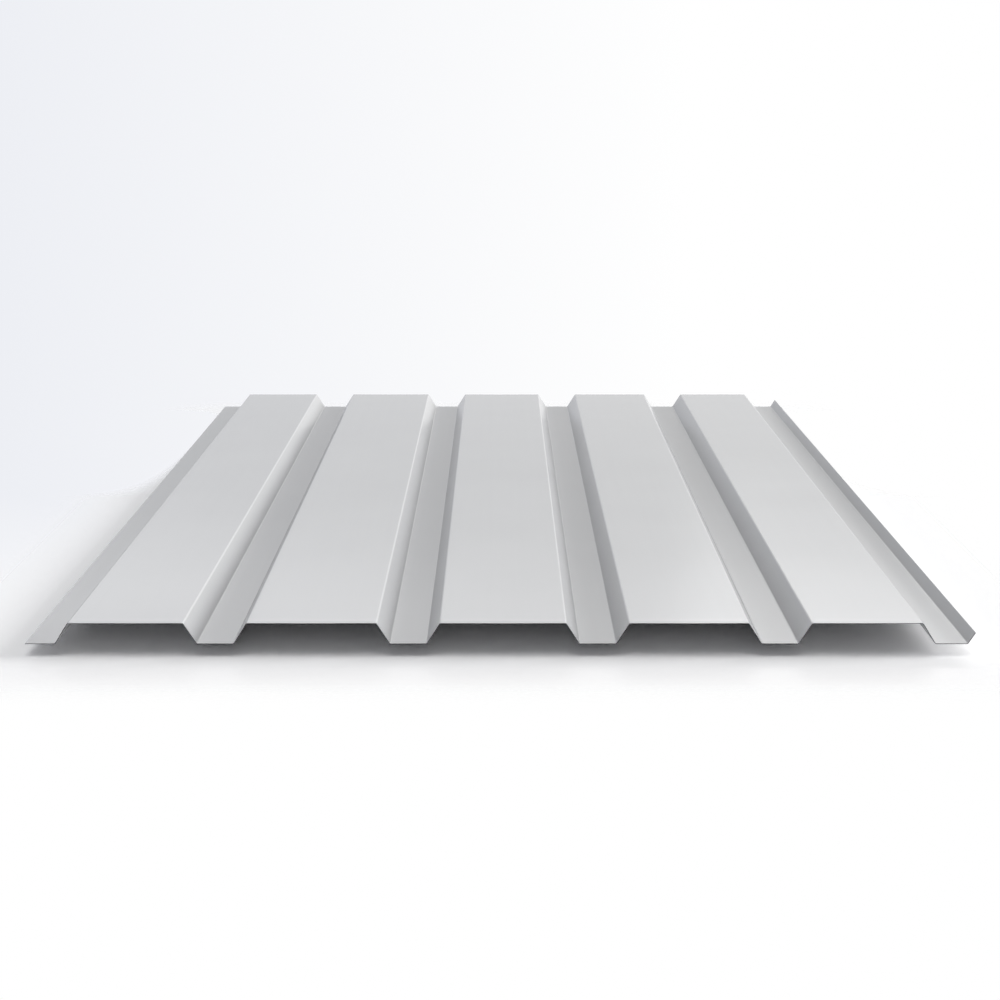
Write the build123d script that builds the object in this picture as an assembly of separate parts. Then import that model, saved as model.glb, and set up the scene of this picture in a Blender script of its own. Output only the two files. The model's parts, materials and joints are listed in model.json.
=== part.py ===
"""Trapezoidal (box profile) metal cladding sheet, cold rolled from one flat strip of coated steel.

Wide flat crests stand above narrow valleys, with sloping webs between them.
The left edge is a flat lip and the right edge a valley with a turned-up return,
so that the lip of one sheet lies in the last valley of the next.

Millimetres. X runs across the sheet, Y along the crests, Z up.
The origin is under the middle of the sheet, in the plane that its valleys rest on.
"""

import os

from build123d import *

# The rolled strip
sheet_length = 1500.0
sheet_thickness = 0.8
bend_radius = 2.0  # inside radius of every bend

# The section, measured between the corners of the top face
profile_depth = 24.0  # underside of a valley to top of a crest
crest_width = 132.0  # mean width of a crest
crest_width_shares = (0.96, 1.08, 1.05, 0.99, 0.92)  # each crest, from left to right
valley_width = 40.0
web_run = 14.5  # sideways run of a web, from valley to crest

# The side lap
lap_lip_width = 33.0  # flat lip at the left edge
lap_clearance = 2.0  # extra width of the last valley, over the lip that lies in it
lap_return_rise = 12.5  # height of the turned-up right edge above its valley

# Worked out from the sizes above
valley_level = sheet_thickness
crest_level = profile_depth
last_valley_width = lap_lip_width + lap_clearance
lap_return_run = web_run * lap_return_rise / (crest_level - valley_level)
crest_bend = bend_radius + sheet_thickness  # the top face is outside a crest's bends
valley_bend = bend_radius  # and inside a valley's


def top_face_corners():
    """The corners of the top face from left to right, as (point, bend radius)."""
    x = lap_lip_width
    corners = [((x, valley_level), valley_bend)]
    for number, share in enumerate(crest_width_shares, start=1):
        is_last = number == len(crest_width_shares)
        steps = (
            (web_run, crest_level, crest_bend),
            (crest_width * share, crest_level, crest_bend),
            (web_run, valley_level, valley_bend),
            (last_valley_width if is_last else valley_width, valley_level, valley_bend),
        )
        for width, level, bend in steps:
            x += width
            corners.append(((x, level), bend))
    return corners


def top_face_line():
    """The line of the top face: the lip's edge, each bend, and the edge of the return."""
    corners = top_face_corners()
    points = [point for point, bend in corners]
    bends = [bend for point, bend in corners]
    last_x, last_z = points[-1]
    lip_edge = (0, valley_level)
    return_edge = (last_x + lap_return_run, last_z + lap_return_rise)
    return FilletPolyline(lip_edge, *points, return_edge, radius=bends)


def corrugated_sheet():
    """The whole sheet: its top face line, thickened downwards and drawn out along Y."""
    outline = offset(top_face_line(), sheet_thickness, side=Side.RIGHT)
    section = make_face(outline.edges())
    sheet = extrude(Plane.XZ * section, sheet_length / 2, both=True)
    return Pos(X=-sheet.bounding_box().center().X) * sheet


os.makedirs("parts", exist_ok=True)
export_step(corrugated_sheet(), "parts/corrugated_sheet.step")
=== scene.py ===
"""Looks of a trapezoidal metal cladding sheet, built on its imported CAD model.

Metres. X runs across the sheet, Y along the crests, Z up.
"""

import json
import math
from typing import NamedTuple

import bpy
import numpy as np
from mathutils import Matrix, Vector


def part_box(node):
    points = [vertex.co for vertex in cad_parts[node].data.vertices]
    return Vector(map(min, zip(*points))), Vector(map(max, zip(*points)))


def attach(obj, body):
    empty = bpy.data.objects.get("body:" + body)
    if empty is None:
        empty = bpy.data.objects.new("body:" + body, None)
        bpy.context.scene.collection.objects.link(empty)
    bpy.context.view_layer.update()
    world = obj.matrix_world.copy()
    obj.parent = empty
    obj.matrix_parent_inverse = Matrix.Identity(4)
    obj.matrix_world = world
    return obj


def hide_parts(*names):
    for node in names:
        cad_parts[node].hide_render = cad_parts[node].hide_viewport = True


class Noise(NamedTuple):
    """One kind of noise in a surface, in the sheet's own coordinates."""

    per_metre: float  # repeats across the sheet
    detail: float = 2.0
    along_share: float = 1.0  # repeats along the sheet, against those across it
    tone_shares: tuple = (1.0, 1.0)  # what it makes of the colour's tone, from low to high


class Columns(NamedTuple):
    """Lines along the sheet, from left to right over its top face."""

    x: np.ndarray
    z: np.ndarray
    angle: np.ndarray  # slope of the section
    kind: np.ndarray  # BEND, LOW_FLAT, CREST or WEB
    share: np.ndarray  # how far along its straight run a line lies, from 0 to 1


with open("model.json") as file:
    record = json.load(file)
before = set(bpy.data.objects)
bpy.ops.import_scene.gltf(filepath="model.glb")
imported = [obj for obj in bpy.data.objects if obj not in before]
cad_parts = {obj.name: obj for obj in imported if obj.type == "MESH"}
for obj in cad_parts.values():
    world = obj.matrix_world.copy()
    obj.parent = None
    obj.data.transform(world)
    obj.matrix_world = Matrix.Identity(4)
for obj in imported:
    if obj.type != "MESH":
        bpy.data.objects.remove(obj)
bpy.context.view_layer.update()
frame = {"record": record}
MM = 0.001

# The section, read from the frame
NODE = "corrugated_sheet"
sheet_low, sheet_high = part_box(NODE)
openings = {entry["name"]: entry["box_m"] for entry in frame["record"]["physics"]["openings"]}
mounts = {entry["name"]: entry["pos_m"] for entry in frame["record"]["mounts"]}
opening_margin = 1 * MM  # an opening's box stands this far inside the section's corners
thickness = mounts["lap_valley_floor"][2]
bend_radius = 2 * MM  # inside radius of every bend

# Fineness of the mesh
bend_steps = 8
column_width = 9 * MM  # widest strip of a flat
row_length = 16 * MM  # longest strip along the sheet
edge_round = 0.12 * MM  # rounding of the sheared edges
edge_round_steps = 2
edge_round_angle = math.radians(60)  # only sharper edges are rounded

# Slight waviness of the rolled flats, always towards the inside of the sheet's box
crest_wave = 0.25 * MM
valley_wave = 0.05 * MM
wave_length = 430 * MM
second_wave_share = 0.6  # length of a second wave, against the first

# The coating on top, with faint streaks, soft clouds, a fine grain and a slight peel, and with a painted
# highlight in its bends and painted shade down in its valleys
COAT_COLOUR = (0.502, 0.505, 0.514)
coat_gloss = 0.38
coat_roughness = (0.22, 0.26)
coat_streaks = Noise(per_metre=90, detail=3, along_share=0.02, tone_shares=(0.994, 1.006))
coat_clouds = Noise(per_metre=4, tone_shares=(0.988, 1.012))
coat_grain = Noise(per_metre=2600, detail=1, tone_shares=(0.975, 1.025))
coat_peel = Noise(per_metre=650, detail=1)
peel_height = 0.02 * MM
peel_strength = 0.4
painted_bend_highlight_share = 1.12  # painted highlight: tone of the coat in the bends, against the flats
painted_valley_shade_share = 0.81  # painted shade: tone of the coat down in the valleys, against the crests
lip_shade_share = 0.15  # how far the open lip takes part in the valleys' painted shade
lap_shade_share = 0.6  # and the last valley, which has a low return on one side

# The backing coat on the underside
BACKING_COLOUR = (0.74, 0.74, 0.75)
backing_roughness = (0.5, 0.6)
backing_lines = Noise(per_metre=140, detail=4, along_share=0.015, tone_shares=(0.965, 1.035))
backing_clouds = Noise(per_metre=7, tone_shares=(0.97, 1.03))

# The bare steel of the sheared edges, as pairs for the land and the break
STEEL_COLOUR = (0.07, 0.07, 0.073)
steel_tone_shares = (1.7, 0.65)
steel_roughness = (0.3, 0.55)
land_end_shares = (0.3, 0.42)  # the land turns into the break between these shares of the thickness
ragged_share = 0.08  # and its end wanders by this share, up and down
steel_ragged = Noise(per_metre=1500)

# The camera, from the photo's vanishing point and the heights of the sheet's two ends in it
camera_distance = 1.9167  # in front of the near end
camera_height = 0.6003
camera_pitch = math.radians(12.88)
camera_lens = 65.8  # in millimetres, for a 36 mm frame

# Light, in shares of the level that makes a white floor white
# Azimuths run from straight behind the sheet towards its right, in degrees
SUNS = {
    "key": {"azimuth": 85, "elevation": 18, "size": 22, "level_share": 0.25},
    "top": {"azimuth": 180, "elevation": 75, "size": 40, "level_share": 0.312},
    "left": {"azimuth": -90, "elevation": 12, "size": 24, "level_share": 0.025},
}
# Long strip lamps behind the sheet
STRIPS = {
    "strip": {"place": (0.6, 2.0, 1.05), "width": 4.8, "height": 0.35, "level_share": 0.0894},
    "right_strip": {"place": (1.45, 2.0, 1.12), "width": 2.2, "height": 0.35, "level_share": 0.0289},
}
fill_level_share = 0.19

# The surround, pale grey on the left and else white
SURROUND_LEFT = (0.79, 0.81, 0.87, 1)
SURROUND_ELSE = (1, 1, 1, 1)
surround_turn = (-0.4, 0.1)  # it turns to white between these directions along X
surround_foot = (-0.17, -0.32)  # and downwards between these directions along Z

# The floor
FLOOR_COLOUR = (0.95, 0.95, 0.955)
floor_seen_shares = (1.17, 1.0)  # its tone as the background, at the sheet's near end and at its far end
floor_roughness = 0.5
floor_reach = 60.0
floor_drop = 15 * MM  # the photo's shadow shows the sheet this far clear of the floor
floor_fade = (0.0, 0.16)  # from this far to this far off the sheet, it fades into the surround behind it
side_fade_start = (0.05, 0.45)  # between these places along Y, the fade beside the sheet gets narrower
side_fade_end = (0.8, 0.72)  # and so it does between these, coming forward past the far end
side_fade_narrowing = 10.0  # by this many times

# Material slots of the sheet
COAT, BACKING, STEEL = range(3)

# Kinds of column in the section
BEND, LOW_FLAT, CREST, WEB = range(4)

# Sockets of a node that mixes two colours
MIX_SHARE, MIX_FIRST, MIX_SECOND = 0, 6, 7
MIX_RESULT = 2

# Nearly all of a noise's values lie between these
noise_limits = (0.25, 0.75)


def span(opening):
    """The corners of the section, left and right, that an opening lies between."""
    low, high = openings[opening]
    return low[0] - opening_margin, high[0] + opening_margin


def section_corners():
    """The corners of the top face from the lip's edge to the return's edge, as (x, z)."""
    crests = [span(name) for name in openings if name.startswith("channel_under_crest")]
    valleys = [span(name) for name in openings if name.startswith("valley")]
    valleys.append(span("last_valley"))
    web_run = valleys[0][0] - crests[0][1]
    web_angle = math.atan2(sheet_high.z - thickness, web_run)
    corners = [(sheet_low.x, thickness), (crests[0][0] - web_run, thickness)]
    for crest, valley in zip(crests, valleys):
        corners += [(x, sheet_high.z) for x in crest]
        corners += [(x, thickness) for x in valley]
    return_x = sheet_high.x - thickness * math.sin(web_angle)
    return_z = thickness + (return_x - corners[-1][0]) * math.tan(web_angle)
    return np.array(corners + [(return_x, return_z)])


def upward(angle):
    """The unit normal of the top face, as x and z, where the section runs at an angle."""
    return np.array((-np.sin(angle), np.cos(angle)))


def flat_columns(start, end, kind):
    """Columns along a straight run of the section."""
    run = end - start
    run_x, run_z = run
    steps = math.ceil(math.hypot(run_x, run_z) / column_width) + 1
    share = np.linspace(0, 1, steps + 1)
    x, z = start[:, None] + np.outer(run, share)
    angle = np.full_like(share, math.atan2(run_z, run_x))
    return Columns(x, z, angle, np.full_like(share, kind), share)


def bend_columns(start, angle, turn, radius):
    """Columns inside a bend that begins at a point of the section, at an angle, and turns by another."""
    reach = math.copysign(radius, turn)
    centre_x, centre_z = start + reach * upward(angle)
    angles = angle + turn * np.arange(1, bend_steps) / bend_steps
    from_x, from_z = reach * upward(angles)
    kinds = np.full_like(angles, BEND)
    return Columns(centre_x - from_x, centre_z - from_z, angles, kinds, np.zeros_like(angles))


def kind_of(start_z, end_z):
    """Whether a straight run of the section is a web, a crest or a flat in the valleys' plane."""
    if start_z != end_z:
        return WEB
    return CREST if start_z == sheet_high.z else LOW_FLAT


def section_columns():
    """The columns of the whole top face, from the lip's edge to the return's edge."""
    corners = section_corners()
    corner_z = corners[:, 1]
    runs = np.diff(corners, axis=0)
    run_x, run_z = runs.T
    directions = runs / np.hypot(run_x, run_z)[:, None]
    angles = np.arctan2(run_z, run_x)
    turns = np.diff(angles)
    radii = np.where(turns > 0, bend_radius, bend_radius + thickness)
    cut_backs = radii * np.tan(np.abs(turns) / 2)
    starts = corners[:-1] + directions * np.append(0, cut_backs)[:, None]
    ends = corners[1:] - directions * np.append(cut_backs, 0)[:, None]
    pieces = []
    for number, (start, end) in enumerate(zip(starts, ends)):
        pieces.append(flat_columns(start, end, kind_of(corner_z[number], corner_z[number + 1])))
        if number < len(turns):
            pieces.append(bend_columns(end, angles[number], turns[number], radii[number]))
    return Columns(*np.concatenate(pieces, axis=1))


def valley_shade_amounts(columns):
    """How deep each column lies in a valley, from 0 on the crests to 1 on a valley's floor, less on the lip
    and the last valley: the mask of the coat's painted shade.
    """
    depths = (sheet_high.z - columns.z) / (sheet_high.z - thickness)
    crest_x = columns.x[columns.kind == CREST]
    sides = (columns.x < crest_x[0], columns.x > crest_x[-1])
    return depths * np.select(sides, (lip_shade_share, lap_shade_share), 1)


def waviness(columns, rows):
    """How far each point stands above its true flat, by column and row."""
    flats = (columns.kind == CREST, columns.kind == LOW_FLAT)
    crown = np.select(flats, (-crest_wave, valley_wave), 0) * np.sin(math.pi * columns.share) ** 2
    flat_number = np.cumsum(columns.share == 1)[:, None]
    turn = 2 * math.pi * rows / wave_length + flat_number
    second_turn = turn / second_wave_share + flat_number
    wave = (np.sin(turn) + np.sin(second_turn)) / 2
    return crown[:, None] * (1 + wave) / 2


def skin_points(columns, rows, below):
    """The points of the top face, or of the face that lies below it, by column and row."""
    down_x, down_z = below * upward(columns.angle)
    x = columns.x - down_x
    z = columns.z - down_z
    return np.stack(np.broadcast_arrays(x[:, None], rows, z[:, None] + waviness(columns, rows)), axis=-1)


def quads(ids):
    """The quads over a grid of vertex numbers, wound so that columns then rows turn upwards."""
    corners = (ids[:-1, :-1], ids[1:, :-1], ids[1:, 1:], ids[:-1, 1:])
    return np.stack(corners, axis=-1).reshape(-1, 4)


def sheet_faces(top, under):
    """The quads of the top face, the underside and the four sheared edges, each with its material slot."""
    edges = (
        np.stack((under[:, 0], top[:, 0]), axis=1),
        np.stack((top[:, -1], under[:, -1]), axis=1),
        np.stack((under[0], top[0])),
        np.stack((top[-1], under[-1])),
    )
    faces = [(COAT, quads(top)), (BACKING, quads(under)[:, ::-1])]
    return faces + [(STEEL, quads(edge)) for edge in edges]


def add_attribute(mesh, name, values):
    """A number for each vertex, which the materials read by name."""
    attribute = mesh.attributes.new(name, "FLOAT", "POINT")
    attribute.data.foreach_set("value", np.ravel(values))


def sheet_mesh(materials):
    """The closed mesh of the sheet, with its materials and the numbers that they read."""
    columns = section_columns()
    row_steps = math.ceil((sheet_high.y - sheet_low.y) / row_length)
    rows = np.linspace(sheet_low.y, sheet_high.y, row_steps + 1)
    points = np.stack([skin_points(columns, rows, below) for below in (0, thickness)])
    grid = points.shape[:-1]
    slots, faces = zip(*sheet_faces(*np.arange(math.prod(grid)).reshape(grid)))
    mesh = bpy.data.meshes.new("coated_sheet")
    mesh.from_pydata(points.reshape(-1, 3).tolist(), [], np.concatenate(faces).tolist())
    mesh.polygons.foreach_set("material_index", np.repeat(slots, [len(group) for group in faces]))
    mesh.polygons.foreach_set("use_smooth", np.ones(len(mesh.polygons), bool))
    for material in materials:
        mesh.materials.append(material)
    bend_highlight_mask = (columns.kind == BEND).astype(float)
    through = np.array((0.0, 1.0))
    # the mask of the painted highlight in the bends
    add_attribute(mesh, "bend", np.broadcast_to(bend_highlight_mask[:, None], grid))
    # the mask of the painted shade in the valleys
    add_attribute(mesh, "valley_depth", np.broadcast_to(valley_shade_amounts(columns)[:, None], grid))
    add_attribute(mesh, "through", np.broadcast_to(through[:, None, None], grid))
    mesh.validate()
    return mesh


def node_tools(tree):
    """Two functions for a node tree: one adds a node, and one plugs a source or a value into a socket."""

    def add(kind, links=(), **settings):
        node = tree.nodes.new(kind)
        for key, value in settings.items():
            setattr(node, key, value)
        for socket, source in links:
            plug(node, socket, source)
        return node

    def plug(node, socket, source):
        if isinstance(source, bpy.types.NodeSocket):
            tree.links.new(source, node.inputs[socket])
        else:
            node.inputs[socket].default_value = source

    return add, plug


def new_material(name):
    """A material with its shader and the tools for its nodes."""
    material = bpy.data.materials.new(name)
    material.use_nodes = True
    return material, material.node_tree.nodes["Principled BSDF"], *node_tools(material.node_tree)


def attribute_value(add, name):
    """A number that the mesh carries."""
    return add("ShaderNodeAttribute", attribute_name=name).outputs["Fac"]


def mapped(add, value, source=(0, 1), target=(0, 1), interpolation="LINEAR"):
    """A value carried over from one range to another, and kept inside it."""
    limits = zip(("From Min", "From Max", "To Min", "To Max"), (*source, *target))
    links = [("Value", value), *limits]
    return add("ShaderNodeMapRange", links, interpolation_type=interpolation).outputs["Result"]


def combined(add, operation, first, *others):
    """Some values put together, one after the other."""
    for other in others:
        first = add("ShaderNodeMath", [(0, first), (1, other)], operation=operation).outputs["Value"]
    return first


def tinted(add, colour, tone):
    """A colour made lighter or darker by a tone around 1."""
    links = [(0, colour), ("Scale", tone)]
    return add("ShaderNodeVectorMath", links, operation="SCALE").outputs["Vector"]


def noise(add, kind):
    """Noise of one kind."""
    place = add("ShaderNodeTexCoord").outputs["Object"]
    stretch = (1, kind.along_share, 1)
    place = add("ShaderNodeMapping", [("Vector", place), ("Scale", stretch)]).outputs["Vector"]
    links = [("Vector", place), ("Scale", kind.per_metre), ("Detail", kind.detail)]
    return add("ShaderNodeTexNoise", links).outputs["Fac"]


def spread_noise(add, kind, target):
    """Noise of one kind, spread over a range."""
    return mapped(add, noise(add, kind), noise_limits, target)


def noise_tones(add, *kinds):
    """The tones around 1 that some kinds of noise give a colour."""
    return [spread_noise(add, kind, kind.tone_shares) for kind in kinds]


def coat_material():
    """Satin coil coating, with a painted highlight in its bends and painted shade down in its valleys."""
    material, shader, add, plug = new_material("satin_coil_coat")
    tones = noise_tones(add, coat_streaks, coat_clouds, coat_grain)
    # the bends get a painted highlight, and the valleys painted shade
    for name, tone_share in (("bend", painted_bend_highlight_share), ("valley_depth", painted_valley_shade_share)):
        tones.append(mapped(add, attribute_value(add, name), target=(1, tone_share)))
    plug(shader, "Base Color", tinted(add, COAT_COLOUR, combined(add, "MULTIPLY", *tones)))
    plug(shader, "Roughness", spread_noise(add, coat_clouds, coat_roughness))
    plug(shader, "Specular IOR Level", coat_gloss)
    relief = [("Strength", peel_strength), ("Distance", peel_height), ("Height", noise(add, coat_peel))]
    plug(shader, "Normal", add("ShaderNodeBump", relief).outputs["Normal"])
    return material


def backing_material():
    """Thin dull backing coat on the underside, with the steel's rolling lines showing faintly."""
    material, shader, add, plug = new_material("backing_coat")
    tones = noise_tones(add, backing_lines, backing_clouds)
    plug(shader, "Base Color", tinted(add, BACKING_COLOUR, combined(add, "MULTIPLY", *tones)))
    plug(shader, "Roughness", spread_noise(add, backing_lines, backing_roughness))
    return material


def steel_material():
    """Bare sheared steel: a burnished land near the top face, and a rough break below it."""
    material, shader, add, plug = new_material("sheared_steel")
    raggedness = spread_noise(add, steel_ragged, (-ragged_share, ragged_share))
    depth = combined(add, "ADD", attribute_value(add, "through"), raggedness)
    broken = mapped(add, depth, land_end_shares)
    plug(shader, "Metallic", 1.0)
    plug(shader, "Base Color", tinted(add, STEEL_COLOUR, mapped(add, broken, target=steel_tone_shares)))
    plug(shader, "Roughness", mapped(add, broken, target=steel_roughness))
    return material


def make_sheet():
    """The sheet as one piece, with its sheared edges rounded off."""
    materials = (coat_material(), backing_material(), steel_material())
    sheet = bpy.data.objects.new("coated_sheet", sheet_mesh(materials))
    bpy.context.scene.collection.objects.link(sheet)
    rounding = sheet.modifiers.new("edge_round", "BEVEL")
    rounding.width = edge_round
    rounding.segments = edge_round_steps
    rounding.material = STEEL
    rounding.limit_method = "ANGLE"
    rounding.angle_limit = edge_round_angle
    rounding.use_clamp_overlap = False
    sheet.modifiers.new("flat_shading", "WEIGHTED_NORMAL").keep_sharp = True
    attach(sheet, "root")
    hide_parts(NODE)


def seen_rays(add):
    """1 for the rays that show the background: the camera's own, and those by way of gloss or glass."""
    rays = add("ShaderNodeLightPath").outputs
    kinds = ("Is Camera Ray", "Is Glossy Ray", "Is Transmission Ray")
    return combined(add, "MAXIMUM", *[rays[kind] for kind in kinds])


def floor_tone(add, along, seen):
    """The floor's tone: its own for the light that it spreads, and another for the rays that see it."""
    seen_tone = mapped(add, along, (sheet_low.y, sheet_high.y), floor_seen_shares)
    return mapped(add, seen, target=(1, seen_tone))


def floor_faded(add, place, along):
    """How far the floor has faded out at a place, from 0 beside the sheet to 1."""
    ramps = [mapped(add, along, ends, (1, side_fade_narrowing)) for ends in (side_fade_start, side_fade_end)]
    narrowing = combined(add, "MINIMUM", *ramps)
    stretch = add("ShaderNodeCombineXYZ", [("X", narrowing), ("Y", 1), ("Z", 1)]).outputs["Vector"]
    off_sheet = add("ShaderNodeVectorMath", [(0, place)], operation="ABSOLUTE").outputs["Vector"]
    for operation, other in (("SUBTRACT", sheet_high), ("MAXIMUM", (0, 0, 0)), ("MULTIPLY", stretch)):
        links = [(0, off_sheet), (1, other)]
        off_sheet = add("ShaderNodeVectorMath", links, operation=operation).outputs["Vector"]
    distance = add("ShaderNodeVectorMath", [(0, off_sheet)], operation="LENGTH").outputs["Value"]
    return mapped(add, distance, floor_fade, interpolation="SMOOTHSTEP")


def floor_material():
    """White with a faint polish, fading into the surround away from the sheet and its shadow."""
    material, shader, add, plug = new_material("white_floor")
    seen = seen_rays(add)
    place = add("ShaderNodeTexCoord").outputs["Object"]
    along = add("ShaderNodeSeparateXYZ", [("Vector", place)]).outputs["Y"]
    plug(shader, "Base Color", tinted(add, FLOOR_COLOUR, floor_tone(add, along, seen)))
    plug(shader, "Roughness", floor_roughness)
    clear = add("ShaderNodeBsdfTransparent").outputs["BSDF"]
    clear_share = combined(add, "MULTIPLY", floor_faded(add, place, along), seen)
    surface = add("ShaderNodeMixShader", [(0, clear_share), (1, shader.outputs["BSDF"]), (2, clear)])
    plug(material.node_tree.nodes["Material Output"], "Surface", surface.outputs["Shader"])
    return material


def make_floor():
    """A plain white floor."""
    mesh = bpy.data.meshes.new("floor")
    square = ((-1, -1), (1, -1), (1, 1), (-1, 1))
    corners = [(x * floor_reach, y * floor_reach, -floor_drop) for x, y in square]
    mesh.from_pydata(corners, [], [(0, 1, 2, 3)])
    mesh.materials.append(floor_material())
    floor = bpy.data.objects.new("floor", mesh)
    bpy.context.scene.collection.objects.link(floor)


def make_sun(name, azimuth, elevation, size, level_share):
    """A soft distant lamp, which gloss doesn't mirror."""
    height = math.radians(elevation)
    lamp = bpy.data.lights.new(name, "SUN")
    lamp.energy = level_share * math.pi / math.sin(height)
    lamp.angle = math.radians(size)
    holder = bpy.data.objects.new(name, lamp)
    holder.rotation_euler = (height - math.pi / 2, 0, -math.radians(azimuth))
    holder.visible_glossy = False
    bpy.context.scene.collection.objects.link(holder)


def make_strip(name, place, width, height, level_share):
    """A long lamp near the sheet, turned towards its middle, for the glow of its near end."""
    place = Vector(place)
    lamp = bpy.data.lights.new(name, "AREA")
    lamp.shape = "RECTANGLE"
    lamp.size = width
    lamp.size_y = height
    lamp.energy = level_share * math.pi**2 * place.length**3 / place.z
    holder = bpy.data.objects.new(name, lamp)
    holder.location = place
    holder.rotation_euler = (-place).to_track_quat("-Z", "Y").to_euler()
    holder.visible_camera = False
    bpy.context.scene.collection.objects.link(holder)


def make_surround():
    """A pale surround that fills the shadows weakly."""
    world = bpy.data.worlds.new("surround")
    world.use_nodes = True
    world.cycles.sampling_method = "NONE"
    bpy.context.scene.world = world
    add, plug = node_tools(world.node_tree)
    direction = add("ShaderNodeTexCoord").outputs["Generated"]
    parts = add("ShaderNodeSeparateXYZ", [("Vector", direction)]).outputs
    turned = mapped(add, parts["X"], surround_turn)
    downward = mapped(add, parts["Z"], surround_foot)
    white_share = combined(add, "MAXIMUM", turned, downward)
    links = [(MIX_SHARE, white_share), (MIX_FIRST, SURROUND_LEFT), (MIX_SECOND, SURROUND_ELSE)]
    colour = add("ShaderNodeMix", links, data_type="RGBA").outputs[MIX_RESULT]
    background = world.node_tree.nodes["Background"]
    plug(background, "Color", colour)
    plug(background, "Strength", mapped(add, seen_rays(add), target=(fill_level_share, 1)))


def make_camera():
    """The photo's view, from in front of one end and a little above."""
    camera = bpy.data.objects.new("camera", bpy.data.cameras.new("camera"))
    camera.data.lens = camera_lens
    camera.location = (0, sheet_low.y - camera_distance, camera_height)
    camera.rotation_euler = (math.pi / 2 - camera_pitch, 0, 0)
    bpy.context.scene.collection.objects.link(camera)
    bpy.context.scene.camera = camera


make_sheet()
make_floor()
for lamp_name, settings in SUNS.items():
    make_sun(lamp_name, **settings)
for lamp_name, settings in STRIPS.items():
    make_strip(lamp_name, **settings)
make_surround()
make_camera()
bpy.context.scene.view_settings.view_transform = "Standard"
